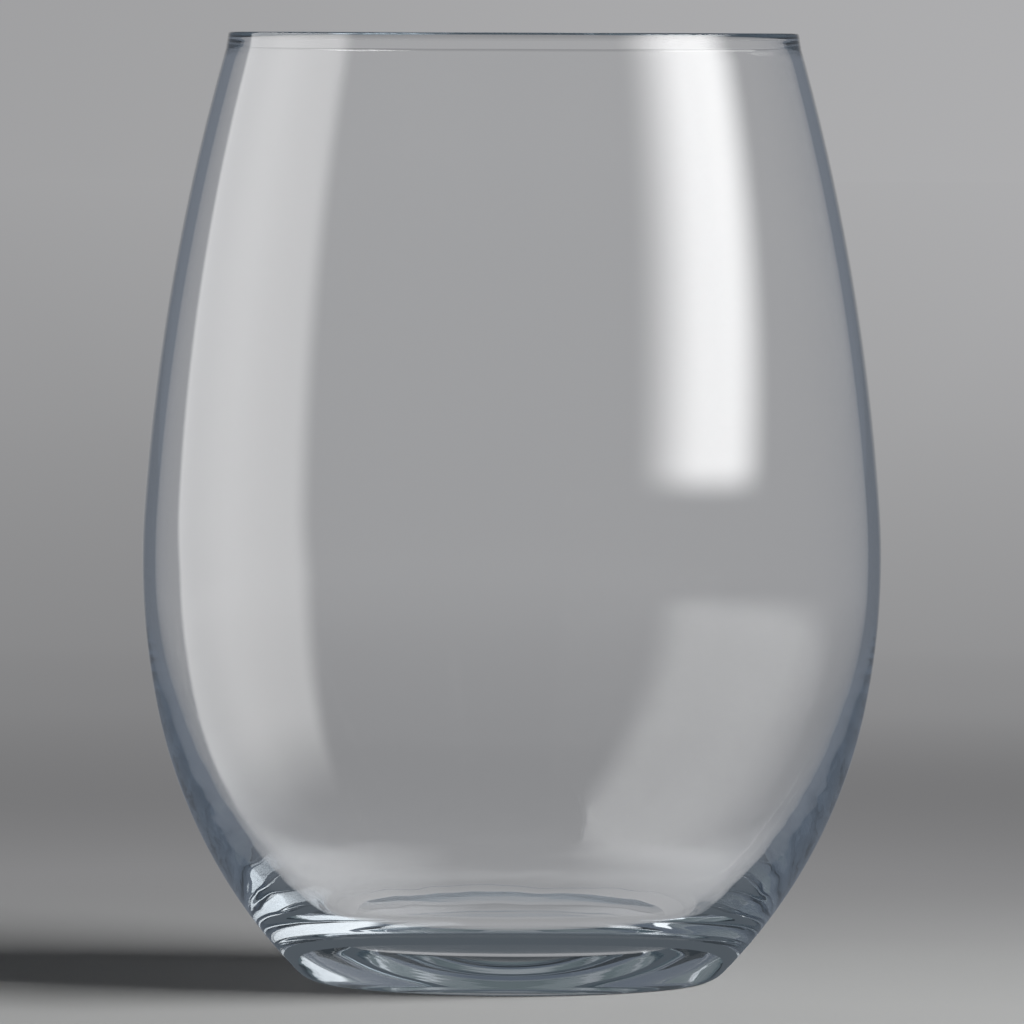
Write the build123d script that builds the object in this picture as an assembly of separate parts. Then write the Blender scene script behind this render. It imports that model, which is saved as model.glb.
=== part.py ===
from build123d import *
import math
import os

# Stemless wine glass, one axis of revolution on Z, bearing plane at Z = 0.
# The real glass is a single blown piece: the thick base, the bowl wall and the
# fire-polished rim bead are its three formed zones, meeting face to face.

# Driving dimensions in millimetres, angles in degrees
height = 118.0
max_diameter = 92.0
rim_diameter = 71.5
foot_diameter = 47.5

# Outer profile: one belly arc, a flatter arc up to the rim, a rounder arc down to the heel
belly_height = 52.6
belly_radius = 91.5
belly_top_angle = 4.0
belly_bottom_angle = 11.7
heel_radius = 4.0

# Inner profile: thin wall, thickening below the belly to a rounded floor corner and a dished floor
belly_wall = 1.6
rim_wall = 1.5
thickening_angle = 3.0
floor_height = 4.7
floor_diameter = 37.6
floor_corner_radius = 14.0
floor_dish_radius = 100.0

# Underside: flat bearing ring round a shallow concave punt
bearing_ring_width = 2.5
punt_depth = 0.8

# Fire-polished bead: it stands a little more upright than the wall, crisp outside and rounded inside
bead_height = 2.0
bead_taper_angle = 9.0
bead_outer_radius = 0.3
bead_inner_radius = 0.9


def radial(angle):
    """Unit vector of the half section, the angle measured up from horizontal."""
    return Vector(math.cos(math.radians(angle)), math.sin(math.radians(angle)))


def angle_of(centre, point):
    """Angle of a point of the half section as seen from an arc's centre."""
    return math.degrees(math.atan2(point.Y - centre.Y, point.X - centre.X))


class ProfileArc:
    """Circle that carries one stretch of the half section."""

    def __init__(self, centre, radius):
        self.centre = centre
        self.radius = radius

    def at(self, angle):
        return self.centre + radial(angle) * self.radius

    def at_height(self, level):
        return self.at(math.degrees(math.asin((level - self.centre.Y) / self.radius)))

    def edge(self, start, end):
        first = angle_of(self.centre, start)
        last = angle_of(self.centre, end)
        return ThreePointArc(start, self.at((first + last) / 2), end)


def arc_through(tangent_point, angle, end):
    """Arc that leaves a tangent point along the belly and passes through an end point."""
    chord = end - tangent_point
    radius = -chord.dot(chord) / (2 * chord.dot(radial(angle)))
    return ProfileArc(tangent_point - radial(angle) * radius, radius)


def arc_onto(tangent_point, angle, corner):
    """Arc that leaves a tangent point along the belly and rolls onto a smaller corner arc."""
    reach = tangent_point - corner.centre
    radius = (reach.dot(reach) - corner.radius**2) / (2 * (reach.dot(radial(angle)) - corner.radius))
    return ProfileArc(tangent_point - radial(angle) * radius, radius)


def touch_point(large, small):
    """Point where a small arc runs out of a larger one that it is tangent to."""
    return large.at(angle_of(large.centre, small.centre))


def ring_from(edges):
    """Solid of revolution of a closed half section drawn in the XZ plane."""
    return revolve(Plane.XZ * make_face(edges), Axis.Z)


# Outer profile
bead_level = height - bead_height
outer_rim = Vector(rim_diameter / 2, bead_level)
foot_edge = Vector(foot_diameter / 2, 0)
heel = ProfileArc(Vector(foot_diameter / 2, heel_radius), heel_radius)
belly = ProfileArc(Vector(max_diameter / 2 - belly_radius, belly_height), belly_radius)
belly_top = belly.at(belly_top_angle)
belly_bottom = belly.at(-belly_bottom_angle)
upper_wall = arc_through(belly_top, belly_top_angle, outer_rim)
lower_wall = arc_onto(belly_bottom, -belly_bottom_angle, heel)
heel_end = touch_point(lower_wall, heel)

# Inner profile
inner_rim = Vector(rim_diameter / 2 - rim_wall, bead_level)
floor_centre = Vector(0, floor_height)
dish = ProfileArc(Vector(0, floor_height + floor_dish_radius), floor_dish_radius)
corner_reach = floor_dish_radius - floor_corner_radius
corner_drop = math.sqrt(corner_reach**2 - (floor_diameter / 2)**2)
corner = ProfileArc(Vector(floor_diameter / 2, dish.centre.Y - corner_drop), floor_corner_radius)
inner_belly = ProfileArc(belly.centre, belly_radius - belly_wall)
inner_belly_top = inner_belly.at(belly_top_angle)
inner_belly_bottom = inner_belly.at(-thickening_angle)
inner_upper = arc_through(inner_belly_top, belly_top_angle, inner_rim)
inner_lower = arc_onto(inner_belly_bottom, -thickening_angle, corner)
corner_top = touch_point(inner_lower, corner)
corner_end = touch_point(dish, corner)

# The base ends level with the top of its floor corner, where the side wall begins
outer_seam = lower_wall.at_height(corner_top.Y)

# Underside
punt_edge = Vector(foot_diameter / 2 - bearing_ring_width, 0)
punt_centre = Vector(0, punt_depth)
punt_radius = (punt_edge.X**2 + punt_depth**2) / (2 * punt_depth)
punt = ProfileArc(Vector(0, punt_depth - punt_radius), punt_radius)


def base():
    """Thick bottom with its heel, bearing ring, punt and dished floor."""
    return ring_from([
        punt.edge(punt_centre, punt_edge),
        Line(punt_edge, foot_edge),
        heel.edge(foot_edge, heel_end),
        lower_wall.edge(heel_end, outer_seam),
        Line(outer_seam, corner_top),
        corner.edge(corner_top, corner_end),
        dish.edge(corner_end, floor_centre),
        Line(floor_centre, punt_centre),
    ])


def bowl_wall():
    """Blown wall from the floor corner, out round the belly and in to the rim."""
    return ring_from([
        lower_wall.edge(outer_seam, belly_bottom),
        belly.edge(belly_bottom, belly_top),
        upper_wall.edge(belly_top, outer_rim),
        Line(outer_rim, inner_rim),
        inner_upper.edge(inner_rim, inner_belly_top),
        inner_belly.edge(inner_belly_top, inner_belly_bottom),
        inner_lower.edge(inner_belly_bottom, corner_top),
        Line(corner_top, outer_seam),
    ])


def rim_bead():
    """Lip that fire polishing leaves on the wall's top edge, crisp outside and rounded inside."""
    inner_lean = angle_of(inner_upper.centre, inner_rim)
    outer_top = outer_rim + Vector(-bead_height * math.tan(math.radians(bead_taper_angle)), bead_height)
    inner_top = inner_rim + Vector(-bead_height * math.tan(math.radians(inner_lean)), bead_height)
    section = make_face(Polyline(inner_rim, outer_rim, outer_top, inner_top, close=True))
    section = fillet(section.vertices().sort_by_distance(outer_top)[:1], bead_outer_radius)
    section = fillet(section.vertices().sort_by_distance(inner_top)[:1], bead_inner_radius)
    return revolve(Plane.XZ * section, Axis.Z)


os.makedirs("parts", exist_ok=True)
for node in (base, bowl_wall, rim_bead):
    export_step(node(), f"parts/{node.__name__}.step")
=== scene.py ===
import math

import bmesh
import bpy
from mathutils import Matrix, Vector


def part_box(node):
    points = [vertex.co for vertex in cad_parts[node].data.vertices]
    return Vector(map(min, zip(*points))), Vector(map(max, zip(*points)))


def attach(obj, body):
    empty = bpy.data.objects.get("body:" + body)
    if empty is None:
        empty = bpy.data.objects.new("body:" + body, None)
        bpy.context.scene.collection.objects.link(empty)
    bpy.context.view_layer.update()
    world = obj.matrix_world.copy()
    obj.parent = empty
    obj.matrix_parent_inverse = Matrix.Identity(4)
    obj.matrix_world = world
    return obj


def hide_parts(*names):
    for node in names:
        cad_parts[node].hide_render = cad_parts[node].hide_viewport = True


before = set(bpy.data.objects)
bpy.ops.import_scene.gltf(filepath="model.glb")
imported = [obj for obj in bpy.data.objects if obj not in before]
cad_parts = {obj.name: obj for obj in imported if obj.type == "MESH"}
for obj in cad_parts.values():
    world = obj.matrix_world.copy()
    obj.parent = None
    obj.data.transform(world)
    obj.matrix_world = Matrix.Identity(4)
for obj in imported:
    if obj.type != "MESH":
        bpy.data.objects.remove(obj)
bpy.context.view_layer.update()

# Glass body
# One gob of clear soda-lime glass: its bottom is pressed thick, the bowl is blown out thin in a mould,
# and the cut rim is melted back into a small rounded bead. It stands free on the ring round its punt.
wall_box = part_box("bowl_wall")
bead_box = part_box("rim_bead")
rim_top = bead_box[1][2]
bead_level = bead_box[0][2]
bead_outer = bead_box[1][0]
widest_radius = wall_box[1][0]
belly_level = 0.0526
belly_sweep = 0.0915
belly_up = math.radians(4.0)
belly_down = math.radians(11.7)
thickening = math.radians(3.0)
belly_wall = 0.0016
rim_wall = 0.0015
bead_taper = math.radians(9.0)
bead_outer_rounding = 0.0003
bead_inner_rounding = 0.0009
foot_radius = 0.02375
heel_rounding = 0.004
ring_width = 0.0025
punt_depth = 0.0008
floor_level = 0.0047
floor_radius = 0.0188
floor_corner = 0.014
floor_dish = 0.100
wave_top = 0.045
waves_by_level = ((0.004, 0.0), (0.014, 1.0), (wave_top, 0.0))
wave_scale = 120.0
wave_squash = (1.0, 1.0, 2.0)
wave_detail = 1.0
wave_depth = 0.00004
refraction = 1.52
iron_tint = (0.70, 0.78, 0.84, 1.0)
iron_density = 12.0
shadow_facing = (0.1, 0.7)
shadow_tones = ((0.40, 0.41, 0.42, 1.0), (0.05, 0.05, 0.05, 1.0))
turn_segments = 256
weld_distance = 1e-6
punt_steps = 22
ring_steps = 5
heel_steps = 12
lower_steps = 56
belly_steps = 22
rise_steps = 40
lip_side_steps = 8
lip_crisp_steps = 6
lip_round_steps = 16
lip_inner_steps = 4
inner_belly_steps = 14
thickening_steps = 60
corner_steps = 24
floor_steps = 30


def heading(angle):
    """Unit vector in the half section, which is drawn as radius and height."""
    return Vector((math.cos(angle), math.sin(angle)))


def arc_points(centre, radius, start, end, steps):
    """Points of an arc, without its first one, which the stretch before it ends on."""
    return [centre + radius * heading(start + (end - start) * i / steps) for i in range(1, steps + 1)]


def arc_through(point, angle, end):
    """Centre and radius of the arc that leaves the belly at a point and ends at another."""
    chord = end - point
    radius = -chord.dot(chord) / (2 * chord.dot(heading(angle)))
    return point - radius * heading(angle), radius


def arc_onto(point, angle, centre, rounding):
    """Centre and radius of the arc that leaves the belly at a point and rolls onto a smaller arc."""
    reach = point - centre
    radius = (reach.dot(reach) - rounding**2) / (2 * (reach.dot(heading(angle)) - rounding))
    return point - radius * heading(angle), radius


def bearing(centre, point):
    """Angle of a point as seen from an arc's centre."""
    return math.atan2(point.y - centre.y, point.x - centre.x)


def glass_section():
    """Half section from the middle of the punt, up the outside, over the bead and down to the floor."""
    belly = Vector((widest_radius - belly_sweep, belly_level))
    inner_sweep = belly_sweep - belly_wall
    rim_outer = Vector((bead_outer, bead_level))
    rim_inner = Vector((rim_outer.x - rim_wall, bead_level))
    heel = Vector((foot_radius, heel_rounding))

    # Underside and outside
    punt_edge = foot_radius - ring_width
    punt_sweep = (punt_edge**2 + punt_depth**2) / (2 * punt_depth)
    punt = Vector((0, punt_depth - punt_sweep))
    punt_turn = math.asin(punt_edge / punt_sweep)
    upper, upper_sweep = arc_through(belly + belly_sweep * heading(belly_up), belly_up, rim_outer)
    belly_end = belly + belly_sweep * heading(-belly_down)
    lower, lower_sweep = arc_onto(belly_end, -belly_down, heel, heel_rounding)
    heel_turn = bearing(lower, heel)
    upright = math.pi / 2
    points = [Vector((0, punt_depth))]
    points += arc_points(punt, punt_sweep, upright, upright - punt_turn, punt_steps)
    points += [Vector((punt_edge + ring_width * i / ring_steps, 0)) for i in range(1, ring_steps + 1)]
    points += arc_points(heel, heel_rounding, -upright, heel_turn, heel_steps)
    points += arc_points(lower, lower_sweep, heel_turn, -belly_down, lower_steps)
    points += arc_points(belly, belly_sweep, -belly_down, belly_up, belly_steps)
    points += arc_points(upper, upper_sweep, belly_up, bearing(upper, rim_outer), rise_steps)

    # Bead
    inner_up, up_sweep = arc_through(belly + inner_sweep * heading(belly_up), belly_up, rim_inner)
    inner_lean = bearing(inner_up, rim_inner)
    outer_rise = rim_top - bead_outer_rounding - bead_level
    inner_rise = rim_top - bead_inner_rounding - bead_level
    outer_lip = rim_outer + Vector((0, outer_rise))
    outer_lip.x -= (bead_outer_rounding + outer_rise * math.sin(bead_taper)) / math.cos(bead_taper)
    inner_lip = rim_inner + Vector((0, inner_rise))
    inner_lip.x += (bead_inner_rounding - inner_rise * math.sin(inner_lean)) / math.cos(inner_lean)
    outer_end = outer_lip + bead_outer_rounding * heading(bead_taper)
    inner_start = inner_lip + bead_inner_rounding * heading(math.pi + inner_lean)
    points += [rim_outer.lerp(outer_end, i / lip_side_steps) for i in range(1, lip_side_steps + 1)]
    points += arc_points(outer_lip, bead_outer_rounding, bead_taper, upright, lip_crisp_steps)
    points.append(Vector((inner_lip.x, rim_top)))
    points += arc_points(inner_lip, bead_inner_rounding, upright, math.pi + inner_lean, lip_round_steps)
    points += [inner_start.lerp(rim_inner, i / lip_inner_steps) for i in range(1, lip_inner_steps + 1)]

    # Inside
    dish = Vector((0, floor_level + floor_dish))
    drop = math.sqrt((floor_dish - floor_corner)**2 - floor_radius**2)
    corner = Vector((floor_radius, dish.y - drop))
    thin_end = belly + inner_sweep * heading(-thickening)
    inner_low, low_sweep = arc_onto(thin_end, -thickening, corner, floor_corner)
    corner_turn = bearing(inner_low, corner)
    floor_turn = bearing(dish, corner)
    points += arc_points(inner_up, up_sweep, inner_lean, belly_up, rise_steps)
    points += arc_points(belly, inner_sweep, belly_up, -thickening, inner_belly_steps)
    points += arc_points(inner_low, low_sweep, -thickening, corner_turn, thickening_steps)
    points += arc_points(corner, floor_corner, corner_turn, floor_turn, corner_steps)
    points += arc_points(dish, floor_dish, floor_turn, -upright, floor_steps)
    return points


def turned_glass_tree(material):
    """Geometry nodes that turn a half section about Z and close its seam and poles."""
    tree = bpy.data.node_groups.new("turned_glass", "GeometryNodeTree")
    sockets = tree.interface
    sockets.new_socket("Half Section", in_out="INPUT", socket_type="NodeSocketGeometry")
    sockets.new_socket("Segments", in_out="INPUT", socket_type="NodeSocketInt")
    sockets.new_socket("Glass", in_out="OUTPUT", socket_type="NodeSocketGeometry")
    add = tree.nodes.new
    link = tree.links.new
    given = add("NodeGroupInput")
    result = add("NodeGroupOutput")

    def math_node(operation, first, second):
        node = add("ShaderNodeMath")
        node.operation = operation
        for socket, value in zip(node.inputs, (first, second)):
            if isinstance(value, (int, float)):
                socket.default_value = value
            else:
                link(value, socket)
        return node.outputs[0]

    def from_section(value, kind, index):
        node = add("GeometryNodeSampleIndex")
        node.data_type = kind
        link(given.outputs["Half Section"], node.inputs["Geometry"])
        link(value, node.inputs["Value"])
        link(index, node.inputs["Index"])
        return node.outputs["Value"]

    count = add("GeometryNodeAttributeDomainSize")
    count.component = "MESH"
    link(given.outputs["Half Section"], count.inputs[0])
    rings = count.outputs["Point Count"]
    sheet = add("GeometryNodeMeshGrid")
    link(math_node("ADD", given.outputs["Segments"], 1), sheet.inputs["Vertices X"])
    link(rings, sheet.inputs["Vertices Y"])
    index = add("GeometryNodeInputIndex").outputs[0]
    ring = math_node("FLOORED_MODULO", index, rings)
    column = math_node("FLOOR", math_node("DIVIDE", math_node("ADD", index, 0.5), rings), 0)
    turn = math_node("MULTIPLY", math_node("DIVIDE", column, given.outputs["Segments"]), 2 * math.pi)

    spin = add("ShaderNodeVectorRotate")
    spin.rotation_type = "Z_AXIS"
    position = add("GeometryNodeInputPosition").outputs[0]
    link(from_section(position, "FLOAT_VECTOR", ring), spin.inputs["Vector"])
    link(turn, spin.inputs["Angle"])
    turned = add("GeometryNodeSetPosition")
    link(sheet.outputs["Mesh"], turned.inputs["Geometry"])
    link(spin.outputs[0], turned.inputs["Position"])
    closed = add("GeometryNodeMergeByDistance")
    closed.inputs["Distance"].default_value = weld_distance
    link(turned.outputs[0], closed.inputs["Geometry"])

    smooth = add("GeometryNodeSetShadeSmooth")
    link(closed.outputs["Geometry"], smooth.inputs["Geometry"])
    real = add("GeometryNodeRealizeInstances")
    link(smooth.outputs[0], real.inputs[0])
    coat = add("GeometryNodeSetMaterial")
    coat.inputs["Material"].default_value = material
    link(real.outputs[0], coat.inputs["Geometry"])
    link(coat.outputs[0], result.inputs["Glass"])
    return tree


def mould_waves():
    """Faint waves that the mould leaves in the thick lower wall, fading out at the foot and the belly."""
    group = bpy.data.node_groups.new("mould_waves", "ShaderNodeTree")
    group.interface.new_socket("Normal", in_out="OUTPUT", socket_type="NodeSocketVector")
    link = group.links.new
    place = group.nodes.new("ShaderNodeTexCoord").outputs["Object"]
    level = group.nodes.new("ShaderNodeSeparateXYZ")
    link(place, level.inputs[0])
    wavy = group.nodes.new("ShaderNodeValToRGB")
    wavy.color_ramp.interpolation = "EASE"
    wavy.color_ramp.elements.new(0.5)
    for element, (at, share) in zip(wavy.color_ramp.elements, waves_by_level):
        element.position = at / wave_top
        element.color = (share, share, share, 1.0)
    height = group.nodes.new("ShaderNodeMath")
    height.operation = "DIVIDE"
    height.inputs[1].default_value = wave_top
    link(level.outputs[2], height.inputs[0])
    link(height.outputs[0], wavy.inputs[0])
    squashed = group.nodes.new("ShaderNodeVectorMath")
    squashed.operation = "MULTIPLY"
    squashed.inputs[1].default_value = wave_squash
    link(place, squashed.inputs[0])
    waves = group.nodes.new("ShaderNodeTexNoise")
    waves.inputs["Scale"].default_value = wave_scale
    waves.inputs["Detail"].default_value = wave_detail
    link(squashed.outputs[0], waves.inputs["Vector"])
    faded = group.nodes.new("ShaderNodeMath")
    faded.operation = "MULTIPLY"
    link(waves.outputs[0], faded.inputs[0])
    link(wavy.outputs[0], faded.inputs[1])
    bump = group.nodes.new("ShaderNodeBump")
    bump.inputs["Distance"].default_value = wave_depth
    link(faded.outputs[0], bump.inputs["Height"])
    result = group.nodes.new("NodeGroupOutput")
    link(bump.outputs[0], result.inputs["Normal"])
    return group


def clear_glass():
    """Colourless soda-lime glass whose iron shows as a faint blue grey through a thick edge."""
    material = bpy.data.materials.new("clear_glass")
    material.use_nodes = True
    nodes = material.node_tree.nodes
    link = material.node_tree.links.new
    shader = nodes["Principled BSDF"]
    shader.inputs["Base Color"].default_value = (1.0, 1.0, 1.0, 1.0)
    shader.inputs["IOR"].default_value = refraction
    shader.inputs["Transmission Weight"].default_value = 1.0
    shader.inputs["Roughness"].default_value = 0.0

    waves = nodes.new("ShaderNodeGroup")
    waves.node_tree = mould_waves()
    link(waves.outputs["Normal"], shader.inputs["Normal"])

    # The lamp shines through the thin wall, so its shadow is pale and only its edges are dark
    path = nodes.new("ShaderNodeLightPath")
    pale = nodes.new("ShaderNodeBsdfTransparent")
    edge = nodes.new("ShaderNodeLayerWeight")
    edge.inputs["Blend"].default_value = 0.5
    through = nodes.new("ShaderNodeValToRGB")
    for element, at, tone in zip(through.color_ramp.elements, shadow_facing, shadow_tones):
        element.position = at
        element.color = tone
    link(edge.outputs["Facing"], through.inputs[0])
    link(through.outputs[0], pale.inputs["Color"])
    lit = nodes.new("ShaderNodeMixShader")
    link(path.outputs["Is Shadow Ray"], lit.inputs[0])
    link(shader.outputs[0], lit.inputs[1])
    link(pale.outputs[0], lit.inputs[2])
    link(lit.outputs[0], nodes["Material Output"].inputs["Surface"])

    tint = nodes.new("ShaderNodeVolumeAbsorption")
    tint.inputs["Color"].default_value = iron_tint
    tint.inputs["Density"].default_value = iron_density
    link(tint.outputs[0], nodes["Material Output"].inputs["Volume"])
    return material


section = glass_section()
outline = bpy.data.meshes.new("glass_outline")
outline.from_pydata([(p.x, 0, p.y) for p in section], [(i, i + 1) for i in range(len(section) - 1)], [])
blank = bpy.data.objects.new("glass_outline", outline)
bpy.context.collection.objects.link(blank)
glass_material = clear_glass()
turning = blank.modifiers.new("turning", "NODES")
turning.node_group = turned_glass_tree(glass_material)
for socket in turning.node_group.interface.items_tree:
    if socket.name == "Segments":
        turning[socket.identifier] = turn_segments
bpy.context.view_layer.update()
evaluated = blank.evaluated_get(bpy.context.evaluated_depsgraph_get())
glass_mesh = bpy.data.meshes.new_from_object(evaluated)
blank.modifiers.remove(turning)
bpy.data.objects.remove(blank)
outward = bmesh.new()
outward.from_mesh(glass_mesh)
bmesh.ops.recalc_face_normals(outward, faces=outward.faces)
outward.to_mesh(glass_mesh)
outward.free()
glass = bpy.data.objects.new("wine_glass", glass_mesh)
bpy.context.collection.objects.link(glass)
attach(glass, "root")
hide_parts("base", "bowl_wall", "rim_bead")

# Studio floor
# Plain pale grey paper that the glass stands on. It takes the lamp and the shadow near the glass, with its
# colour painted darker towards the back, and fades into a glowing grey further off with painted shade,
# darkest where floor and backdrop meet and painted lighter on the lamp's side. Rays the glass bends see a
# glowing grey with painted light and shade near the foot, and rays it mirrors see painted dark slate.
floor_size = 8.0
settled = 0.00002
paper_roughness = 0.9
paper_gloss = 0.1
paper_grey = (0.405, 0.408, 0.406, 1.0)
# Paper colour further back, painted darker in place of the lamp's falloff
paper_painted_dim = (0.342, 0.344, 0.345, 1.0)
sky_grey = 0.385
fade_centre = (0.0, -0.30, 0.0)
fade_start = 0.335
fade_end = 0.50
behind_start = 0.27
behind_end = 0.37
ramp_decades = (-2.0, 0.9)
# Painted shade on the glowing ground beyond the lit paper, darkest where floor and backdrop meet, lighter
# on the lamp's side
backdrop_painted_near = ((0.44, 0.235), (0.51, 0.195), (0.56, 0.196))
backdrop_painted_left = ((0.60, 0.222), (0.65, 0.248), (0.80, 0.305), (1.0, 0.352))
backdrop_painted_right = ((0.60, 0.246), (0.65, 0.286), (0.80, 0.362), (1.0, 0.418))
# Painted light and shade that bent rays see on the ground, lighter near the foot
bent_painted_near = ((0.10, 0.40), (0.14, 0.31), (0.16, 0.37), (0.19, 0.31), (0.30, 0.285))
bent_painted_far = ((0.36, 0.26), (0.43, 0.27), (0.70, 0.34), (1.0, sky_grey))
lamp_side_reach = 0.06
# Painted dark slate that rays see where a wall mirrors the paper
painted_mirror_slate = (0.168, 0.188, 0.220)
# Painted contact shade by and under the foot
painted_contact_shade = (0.085, 0.10, 0.115)
# Painted darker slate for rays that more walls mirror
painted_deep_mirror_slate = (0.03, 0.036, 0.042, 1.0)
# Painted pool of light beside the foot
painted_caustic_grey = (0.60, 0.60, 0.61, 1.0)
painted_caustic_beside = (0.008, 0.032)
painted_caustic_within = (0.068, 0.036)
# Reach of the painted shade under and by the foot
painted_shade_within = (0.045, 0.026)
painted_contact_within = (0.155, 0.268)
grazing = (0.99, 0.95)
blue_cast = 1.02
count_slack = 0.4


def greys(*stops):
    """Stops of a ramp in neutral grey with the faint blue cast of the studio."""
    return [(at, (grey, grey, grey * blue_cast)) for at, grey in stops]


def switch(nodes, link, operation, value, limit):
    """Result of a comparison or product of a value with a limit or another value."""
    node = nodes.new("ShaderNodeMath")
    node.operation = operation
    link(value, node.inputs[0])
    if isinstance(limit, float):
        node.inputs[1].default_value = limit
    else:
        link(limit, node.inputs[1])
    return node.outputs[0]


def ranged(nodes, link, value, ends, smooth=False):
    """Share of the way that a value has gone from one end of a range to the other."""
    node = nodes.new("ShaderNodeMapRange")
    node.interpolation_type = "SMOOTHSTEP" if smooth else "LINEAR"
    node.inputs["From Min"].default_value = ends[0]
    node.inputs["From Max"].default_value = ends[1]
    link(value, node.inputs["Value"])
    return node.outputs[0]


def counted(nodes, link, count, least, most):
    """One where a ray's count lies between two whole numbers, these included."""
    node = nodes.new("ShaderNodeMath")
    node.operation = "COMPARE"
    node.inputs[1].default_value = (least + most) / 2
    node.inputs[2].default_value = (most - least) / 2 + count_slack
    link(count, node.inputs[0])
    return node.outputs[0]


def shades_of(nodes, link, value, stops):
    """Smooth colour ramp over a value."""
    ramp = nodes.new("ShaderNodeValToRGB")
    ramp.color_ramp.interpolation = "CARDINAL" if len(stops) > 4 else "EASE"
    while len(ramp.color_ramp.elements) < len(stops):
        ramp.color_ramp.elements.new(0.5)
    for element, (at, colour) in zip(ramp.color_ramp.elements, stops):
        element.position = at
        element.color = (*colour, 1.0)
    link(value, ramp.inputs[0])
    return ramp.outputs[0]


def mixed_colour(nodes, link, share, first, second):
    """Blend of two colours or colour sockets."""
    mix = nodes.new("ShaderNodeMix")
    mix.data_type = "RGBA"
    link(share, mix.inputs[0])
    for socket, value in zip(mix.inputs[6:8], (first, second)):
        if isinstance(value, tuple):
            socket.default_value = value
        else:
            link(value, socket)
    return mix.outputs[2]


def past_mirrors(nodes, link, way, straight, painted_once_slate, painted_often_slate):
    """What a ray sees that came straight, or the painted dark slate it sees where one wall mirrored it and
    so it looks aside.
    """
    # The limits lie between whole counts of crossings and mirrors
    path = nodes.new("ShaderNodeLightPath")
    crossed = path.outputs["Transmission Depth"]
    split = nodes.new("ShaderNodeSeparateXYZ")
    link(way, split.inputs[0])
    aside = ranged(nodes, link, split.outputs[1], grazing)
    outside = switch(nodes, link, "LESS_THAN", crossed, 0.5)
    outside = switch(nodes, link, "MULTIPLY", outside, aside)
    inside = switch(nodes, link, "LESS_THAN", crossed, 2.5)
    inside = switch(nodes, link, "MULTIPLY", inside, path.outputs["Is Transmission Ray"])
    one_wall = switch(nodes, link, "MAXIMUM", outside, inside)
    seen = straight
    for mirrors, slate in ((0.5, painted_once_slate), (1.5, painted_often_slate)):
        mirrored = switch(nodes, link, "GREATER_THAN", path.outputs["Glossy Depth"], mirrors)
        share = switch(nodes, link, "MULTIPLY", one_wall, mirrored)
        seen = mixed_colour(nodes, link, share, seen, slate)
    return seen


def lamp_side(nodes, link, way):
    """Zero on the left of the view to one on its right, where the lamp stands."""
    level = nodes.new("ShaderNodeSeparateXYZ")
    link(way, level.inputs[0])
    return ranged(nodes, link, level.outputs[0], (-lamp_side_reach, lamp_side_reach))


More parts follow.
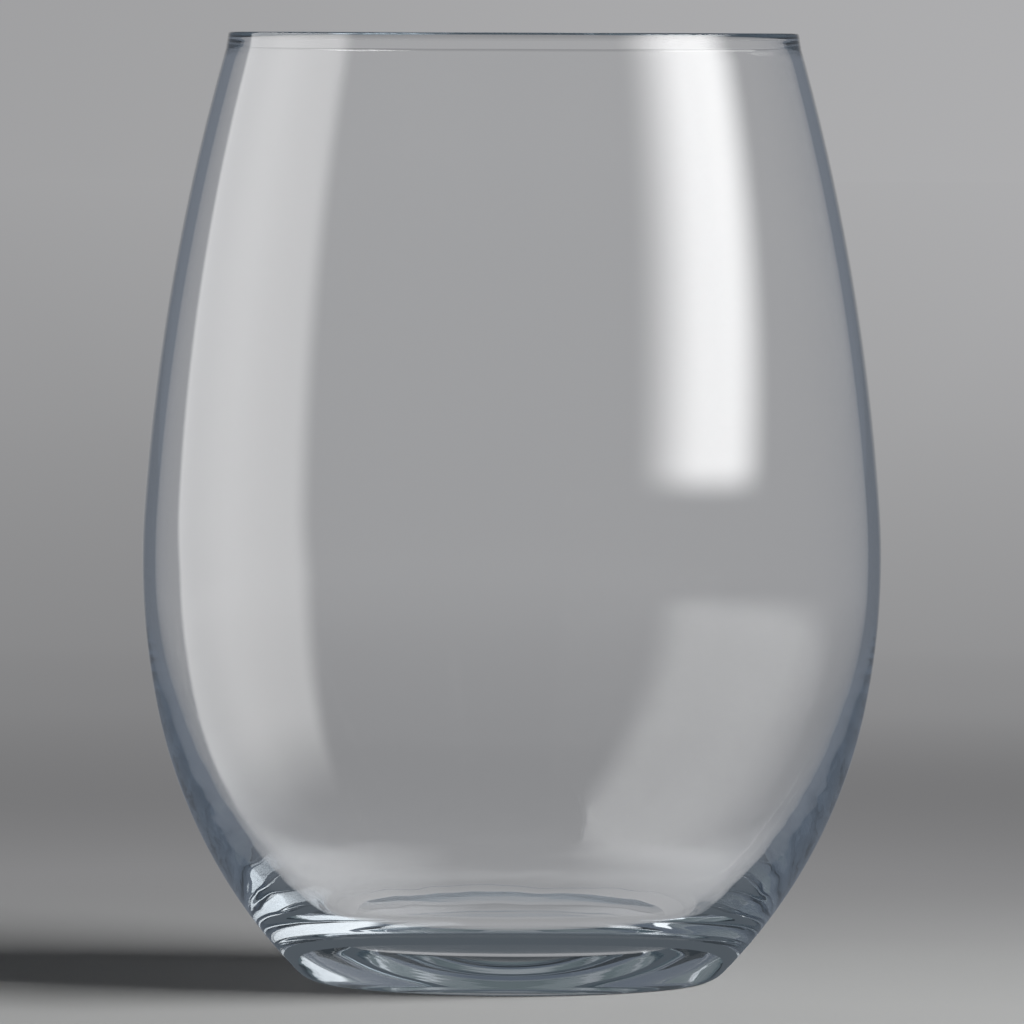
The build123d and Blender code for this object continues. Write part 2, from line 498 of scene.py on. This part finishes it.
def studio_paper():
    """Matt paper near the glass, and further off the same paper as a glowing ground with painted light and
    shade.
    """
    material = bpy.data.materials.new("studio_paper")
    material.use_nodes = True
    nodes = material.node_tree.nodes
    link = material.node_tree.links.new
    matt = nodes["Principled BSDF"]
    matt.inputs["Roughness"].default_value = paper_roughness
    matt.inputs["Specular IOR Level"].default_value = paper_gloss
    place = nodes.new("ShaderNodeTexCoord").outputs["Object"]
    away = nodes.new("ShaderNodeVectorMath")
    away.operation = "LENGTH"
    link(place, away.inputs[0])
    decades = switch(nodes, link, "LOGARITHM", away.outputs["Value"], 10.0)
    far_off = ranged(nodes, link, decades, ramp_decades)

    # What the camera sees beyond the lit paper: painted shade, darkest where floor and backdrop meet, and
    # painted lighter on the lamp's side
    left = shades_of(nodes, link, far_off, greys(*backdrop_painted_near, *backdrop_painted_left))
    right = shades_of(nodes, link, far_off, greys(*backdrop_painted_near, *backdrop_painted_right))
    way = nodes.new("ShaderNodeVectorMath")
    way.operation = "NORMALIZE"
    link(place, way.inputs[0])
    backdrop_painted = mixed_colour(nodes, link, lamp_side(nodes, link, way.outputs[0]), left, right)

    # What rays see that the glass bends: a glowing grey with painted light and shade, lighter near the foot
    # and darker where floor and backdrop meet, and a painted pool of light beside the foot
    ground = shades_of(nodes, link, far_off, greys(*bent_painted_near, *bent_painted_far))
    # Painted pool of light on each side of the foot, standing in for light that the glass gathers
    spot = nodes.new("ShaderNodeSeparateXYZ")
    link(place, spot.inputs[0])
    beside = switch(nodes, link, "ABSOLUTE", spot.outputs[0], 0.0)
    beside = ranged(nodes, link, beside, painted_caustic_beside)
    close = ranged(nodes, link, away.outputs["Value"], painted_caustic_within, smooth=True)
    painted_caustic = switch(nodes, link, "MULTIPLY", beside, close)
    ground = mixed_colour(nodes, link, painted_caustic, ground, painted_caustic_grey)
    # Rays that one wall mirrors see painted dark slate, darker near the foot as painted contact shade
    painted_once_slate = shades_of(nodes, link, far_off, list(zip(painted_contact_within, (painted_contact_shade, painted_mirror_slate))))
    path = nodes.new("ShaderNodeLightPath")
    direct = path.outputs["Is Camera Ray"]
    seen = mixed_colour(nodes, link, direct, ground, backdrop_painted)

    # Painted contact shade: under the foot the paper is painted dark for rays that come down through the
    # base alone
    base_only = counted(nodes, link, path.outputs["Transmission Depth"], 1, 2)
    painted_shade_under_foot = ranged(nodes, link, away.outputs["Value"], painted_shade_within)
    painted_shade_under_foot = switch(nodes, link, "MULTIPLY", base_only, painted_shade_under_foot)
    seen = mixed_colour(nodes, link, painted_shade_under_foot, seen, (*painted_contact_shade, 1.0))
    # Glow of the ground with its painted light and shade, seen only by the camera and by bent or mirrored
    # rays
    even = nodes.new("ShaderNodeEmission")
    link(past_mirrors(nodes, link, way.outputs[0], seen, painted_once_slate, painted_deep_mirror_slate), even.inputs["Color"])

    # The lit paper gives way to the painted glow behind the glass, and bent rays see that alone
    behind = nodes.new("ShaderNodeVectorMath")
    behind.operation = "DISTANCE"
    behind.inputs[1].default_value = fade_centre
    link(place, behind.inputs[0])
    # Painted shade: the paper's colour darkens towards the back in place of the lamp's falloff
    painted_dimming = ranged(nodes, link, behind.outputs["Value"], (behind_start, behind_end))
    link(mixed_colour(nodes, link, painted_dimming, paper_grey, paper_painted_dim), matt.inputs["Base Color"])
    reach = ranged(nodes, link, behind.outputs["Value"], (fade_start, fade_end), smooth=True)
    share = switch(nodes, link, "MULTIPLY", reach, direct)
    share = switch(nodes, link, "MAXIMUM", share, path.outputs["Is Glossy Ray"])
    share = switch(nodes, link, "MAXIMUM", share, path.outputs["Is Transmission Ray"])
    paper = nodes.new("ShaderNodeMixShader")
    link(share, paper.inputs[0])
    link(matt.outputs[0], paper.inputs[1])
    link(even.outputs[0], paper.inputs[2])
    link(paper.outputs[0], nodes["Material Output"].inputs["Surface"])
    return material


def flat_sheet(name, corners, material):
    """Four-cornered sheet of the studio."""
    mesh = bpy.data.meshes.new(name)
    mesh.from_pydata(corners, [], [(0, 1, 2, 3)])
    mesh.materials.append(material)
    sheet = bpy.data.objects.new(name, mesh)
    bpy.context.collection.objects.link(sheet)
    return sheet


flat_sheet(
    "studio_floor",
    [(x * floor_size, y * floor_size, settled) for x, y in ((-1, -1), (1, -1), (1, 1), (-1, 1))],
    studio_paper(),
)

# Painted reflections
# Glowing faces that light nothing stand at the left and the right, and a white sheet runs from the left
# one's foot to the glass. The bowl mirrors them as its two pale strips, which are painted reflections. The
# far faces and slits are painted highlights that show only through the glass.
face_reach = 0.9
face_centre = 0.06
face_grid = 24
mirror_spot = Vector((-0.022, -0.035, 0.0))
dimmed_across = (0.45, 0.9)
most_bends = 50
slit_width = 8


def soft_edges():
    """Mask of a glowing face that paints a reflection or highlight, fading to nothing at its edges and to a
    share towards its far side.
    """
    group = bpy.data.node_groups.new("soft_edges", "ShaderNodeTree")
    for name in ("Fade Near", "Fade Far", "Fade Low", "Fade High", "Far Share"):
        group.interface.new_socket(name, in_out="INPUT", socket_type="NodeSocketFloat")
    group.interface.new_socket("Mask", in_out="OUTPUT", socket_type="NodeSocketFloat")
    link = group.links.new
    given = group.nodes.new("NodeGroupInput")
    result = group.nodes.new("NodeGroupOutput")
    place = group.nodes.new("ShaderNodeUVMap")
    place.uv_map = "face"
    split = group.nodes.new("ShaderNodeSeparateXYZ")
    link(place.outputs[0], split.inputs[0])

    def from_end(value):
        node = group.nodes.new("ShaderNodeMath")
        node.operation = "SUBTRACT"
        node.inputs[0].default_value = 1.0
        link(value, node.inputs[1])
        return node.outputs[0]

    across, up = split.outputs[0], split.outputs[1]
    dimmed = group.nodes.new("ShaderNodeMapRange")
    dimmed.interpolation_type = "SMOOTHSTEP"
    dimmed.inputs["From Min"].default_value = dimmed_across[0]
    dimmed.inputs["From Max"].default_value = dimmed_across[1]
    dimmed.inputs["To Min"].default_value = 1.0
    link(across, dimmed.inputs["Value"])
    link(given.outputs["Far Share"], dimmed.inputs["To Max"])
    mask = dimmed.outputs[0]
    insets = {
        "Fade Near": across,
        "Fade Far": from_end(across),
        "Fade Low": up,
        "Fade High": from_end(up),
    }
    for name, inset in insets.items():
        fade = group.nodes.new("ShaderNodeMapRange")
        fade.interpolation_type = "SMOOTHSTEP"
        link(inset, fade.inputs["Value"])
        link(given.outputs[name], fade.inputs["From Max"])
        product = group.nodes.new("ShaderNodeMath")
        product.operation = "MULTIPLY"
        link(mask, product.inputs[0])
        link(fade.outputs[0], product.inputs[1])
        mask = product.outputs[0]
    link(mask, result.inputs["Mask"])
    return group


def painted_reflection_face(name, place, brightness, fades, mirrors, bends, through):
    """Glowing sheet at the points of place(across, up) that lights nothing: a painted reflection off the
    glass or a painted highlight through it.
    """
    material = bpy.data.materials.new(name)
    material.use_nodes = True
    nodes = material.node_tree.nodes
    link = material.node_tree.links.new
    edges = nodes.new("ShaderNodeGroup")
    edges.node_tree = face_mask
    for socket, fade in zip(edges.inputs, fades):
        socket.default_value = fade
    path = nodes.new("ShaderNodeLightPath")
    shown = edges.outputs["Mask"]
    for depth, (least, most) in (("Glossy Depth", mirrors), ("Ray Depth", bends)):
        chosen = counted(nodes, link, path.outputs[depth], least, most)
        shown = switch(nodes, link, "MULTIPLY", shown, chosen)
    clear = nodes.new("ShaderNodeBsdfTransparent")
    glow = nodes.new("ShaderNodeEmission")
    glow.inputs["Strength"].default_value = brightness
    mix = nodes.new("ShaderNodeMixShader")
    link(shown, mix.inputs[0])
    link(clear.outputs[0], mix.inputs[1])
    link(glow.outputs[0], mix.inputs[2])
    link(mix.outputs[0], nodes["Material Output"].inputs["Surface"])
    row = face_grid + 1
    spots = [(i / face_grid, j / face_grid) for j in range(row) for i in range(row)]
    starts = [k for k in range(face_grid * row) if k % row < face_grid]
    quads = [(k, k + 1, k + row + 1, k + row) for k in starts]
    mesh = bpy.data.meshes.new(name)
    mesh.from_pydata([place(*spot) for spot in spots], [], quads)
    mesh.materials.append(material)
    chart = mesh.uv_layers.new(name="face")
    for loop in mesh.loops:
        chart.data[loop.index].uv = spots[loop.vertex_index]
    face = bpy.data.objects.new(name, mesh)
    bpy.context.collection.objects.link(face)
    face.visible_camera = False
    face.visible_diffuse = False
    face.visible_shadow = False
    face.visible_glossy = not through
    face.visible_transmission = through


def blend(first, second, share):
    """Value that lies a share of the way from a first one to a second."""
    return first + (second - first) * share


def standing(near, far):
    """Points of a face round the glass, from its near and far edge as turns and rises, low end first."""

    def place(across, up):
        near_turn, near_rise = map(blend, *near, (up, up))
        far_turn, far_rise = map(blend, *far, (up, up))
        turn = math.radians(blend(near_turn, far_turn, across))
        rise = math.radians(blend(near_rise, far_rise, across))
        flat = face_reach * math.cos(rise)
        return flat * math.sin(turn), -flat * math.cos(turn), face_centre + face_reach * math.sin(rise)
    return place


def sweep(near, far, start):
    """Points of a sheet that runs out over the floor from below the strip, then up a standing face."""
    wall = standing(near, far)

    def place(across, up):
        if up > 0.5:
            return wall(across, 2 * up - 1)
        return mirror_spot + (Vector(wall(across, 0)) - mirror_spot) * start ** (1 - 2 * up)
    return place


face_mask = soft_edges()
# Painted reflections of the two pale strips on the bowl
painted_reflection_face(
    "right_face", standing(((35, 6.0), (48, 44)), ((86.5, 3.8), (120, 36))), brightness=11.8,
    fades=(0.48, 0.36, 0.065, 0.25, 1.0), mirrors=(1, 1), bends=(1, most_bends), through=False,
)
painted_reflection_face(
    "left_sweep", sweep(((-60, -3.75), (-72, 44)), ((-125, -3.75), (-144, 36)), 0.035), brightness=4.15,
    fades=(0.14, 0.05, 0.19, 0.01, 0.55), mirrors=(1, 1), bends=(1, most_bends), through=False,
)
# Painted highlights that show only through the glass, after chosen counts of mirrors and bends
painted_reflection_face(
    "left_far_face", standing(((-47, 4.0), (-47, 75)), ((-160, -3.0), (-180, 75))), brightness=3.5,
    fades=(0.17, 0.60, 0.08, 0.20, 1.0), mirrors=(1, 1), bends=(5, 5), through=True,
)
painted_reflection_face(
    "right_far_face", standing(((30, 2.0), (30, 78)), ((150, 2.0), (150, 78))), brightness=1.2,
    fades=(0.06, 0.06, 0.02, 0.20, 1.0), mirrors=(2, 12), bends=(3, most_bends), through=True,
)
for slit_name, near in (("left_slit", -36), ("left_back_slit", -136)):
    far = near - slit_width
    painted_reflection_face(
        slit_name, standing(((near, 8.0), (near, 45)), ((far, 8.0), (far, 45))), brightness=1.4,
        fades=(0.20, 0.20, 0.05, 0.20, 1.0), mirrors=(2, 12), bends=(3, most_bends), through=True,
    )

# Lamp and sky
# One wide soft lamp at the right lights the paper and throws the glass's shadow to the left. A dim even sky
# fills the rest. The eye sees the sky as grey paper, painted lighter on the lamp's side, and as painted
# dark slate, darkest at the top, where a wall mirrors it.
lamp_place = Vector((0.96, -0.27, 0.45))
lamp_aim = Vector((0, 0, 0.05))
lamp_width = 0.9
lamp_height = 0.22
lamp_brightness = 42.0
sky_fill = 0.03
# Sky painted lighter on the lamp's side
sky_painted_left = 0.352
sky_painted_right = 0.420
# Painted dark slate that mirrored rays see in the sky, darkest towards the top
painted_low_slate = (0.125, 0.145, 0.175)
painted_high_slate = (0.155, 0.18, 0.185)
painted_dark_top = (0.035, 0.04, 0.045)
once_by_rise = ((0.0, painted_mirror_slate), (0.75, painted_mirror_slate), (0.92, painted_dark_top))
often_by_rise = (
    (0.0, painted_low_slate), (0.30, painted_low_slate), (0.60, painted_high_slate), (0.85, painted_high_slate), (0.96, painted_dark_top),
)


def seen_by_eye(nodes, link):
    """One for rays from the camera, off a gloss or through the glass, and zero for the rest."""
    path = nodes.new("ShaderNodeLightPath")
    total = path.outputs["Is Camera Ray"]
    for name in ("Is Glossy Ray", "Is Transmission Ray"):
        joined = nodes.new("ShaderNodeMath")
        joined.operation = "ADD"
        joined.use_clamp = True
        link(total, joined.inputs[0])
        link(path.outputs[name], joined.inputs[1])
        total = joined.outputs[0]
    return total


lamp = bpy.data.lights.new("right_lamp", "AREA")
lamp.shape = "RECTANGLE"
lamp.size = lamp_width
lamp.size_y = lamp_height
lamp.energy = lamp_brightness * lamp_width * lamp_height * math.pi
lamp_head = bpy.data.objects.new("right_lamp", lamp)
lamp_head.location = lamp_place
lamp_head.rotation_euler = (lamp_aim - lamp_place).to_track_quat("-Z", "Y").to_euler()
bpy.context.collection.objects.link(lamp_head)
lamp_head.visible_glossy = False
lamp_head.visible_transmission = False

sky = bpy.data.worlds.new("studio_sky")
sky.use_nodes = True
bpy.context.scene.world = sky
sky_nodes = sky.node_tree.nodes
sky_link = sky.node_tree.links.new
sky_nodes["Background"].inputs["Color"].default_value = (sky_fill, sky_fill, sky_fill, 1.0)
sky_painted_glow = sky_nodes.new("ShaderNodeBackground")
sky_way = sky_nodes.new("ShaderNodeTexCoord")
sky_rise = sky_nodes.new("ShaderNodeSeparateXYZ")
sky_link(sky_way.outputs["Generated"], sky_rise.inputs[0])
# Painted dark slate for mirrored rays, darkest towards the top
seen_once = shades_of(sky_nodes, sky_link, sky_rise.outputs[2], once_by_rise)
seen_often = shades_of(sky_nodes, sky_link, sky_rise.outputs[2], often_by_rise)
# The sky is painted lighter on the lamp's side
sky_side = lamp_side(sky_nodes, sky_link, sky_way.outputs["Generated"])
sky_seen = shades_of(sky_nodes, sky_link, sky_side, greys((0.0, sky_painted_left), (1.0, sky_painted_right)))
sky_direct = sky_nodes.new("ShaderNodeLightPath").outputs["Is Camera Ray"]
sky_bent = (sky_grey, sky_grey, sky_grey * blue_cast, 1.0)
sky_seen = mixed_colour(sky_nodes, sky_link, sky_direct, sky_bent, sky_seen)
sky_seen = past_mirrors(sky_nodes, sky_link, sky_way.outputs["Generated"], sky_seen, seen_once, seen_often)
sky_link(sky_seen, sky_painted_glow.inputs[0])
sky_mix = sky_nodes.new("ShaderNodeMixShader")
sky_link(seen_by_eye(sky_nodes, sky_link), sky_mix.inputs[0])
sky_link(sky_nodes["Background"].outputs[0], sky_mix.inputs[1])
sky_link(sky_painted_glow.outputs[0], sky_mix.inputs[2])
sky_link(sky_mix.outputs[0], sky_nodes["World Output"].inputs["Surface"])

# Camera
# A long lens level with the rim, tipped down a little, so the rim shows as a line and the floor falls
# away behind. The picture is 1024 pixels square, and the glass measures 8.04 pixels to the millimetre.
camera_distance = 1.40
camera_height = 0.117
picture_pixels = 1024
pixels_per_metre = 8040.0
aim_drop = 0.05863
camera_roll = math.radians(0.2)
lens = bpy.data.cameras.new("camera")
lens.sensor_fit = "HORIZONTAL"
lens.sensor_width = 36.0
lens.lens = lens.sensor_width * pixels_per_metre * camera_distance / picture_pixels
lens.clip_end = 100.0
tilt = math.atan2(aim_drop, camera_distance)
ahead = Vector((0, math.cos(tilt), -math.sin(tilt)))
across = Vector((1, 0, 0))
above = Vector((0, math.sin(tilt), math.cos(tilt)))
rolled_across = across * math.cos(camera_roll) + above * math.sin(camera_roll)
rolled_above = above * math.cos(camera_roll) - across * math.sin(camera_roll)
camera = bpy.data.objects.new("camera", lens)
camera.matrix_world = (
    Matrix.Translation((0, -camera_distance, camera_height))
    @ Matrix((rolled_across, rolled_above, -ahead)).transposed().to_4x4()
)
bpy.context.collection.objects.link(camera)
bpy.context.scene.camera = camera
bpy.context.scene.view_settings.view_transform = "Standard"

# Light crosses many faces of the thick base before it leaves
bounces = 64
bpy.context.scene.cycles.max_bounces = bounces
bpy.context.scene.cycles.glossy_bounces = bounces
bpy.context.scene.cycles.transmission_bounces = bounces
bpy.context.scene.cycles.transparent_max_bounces = bounces
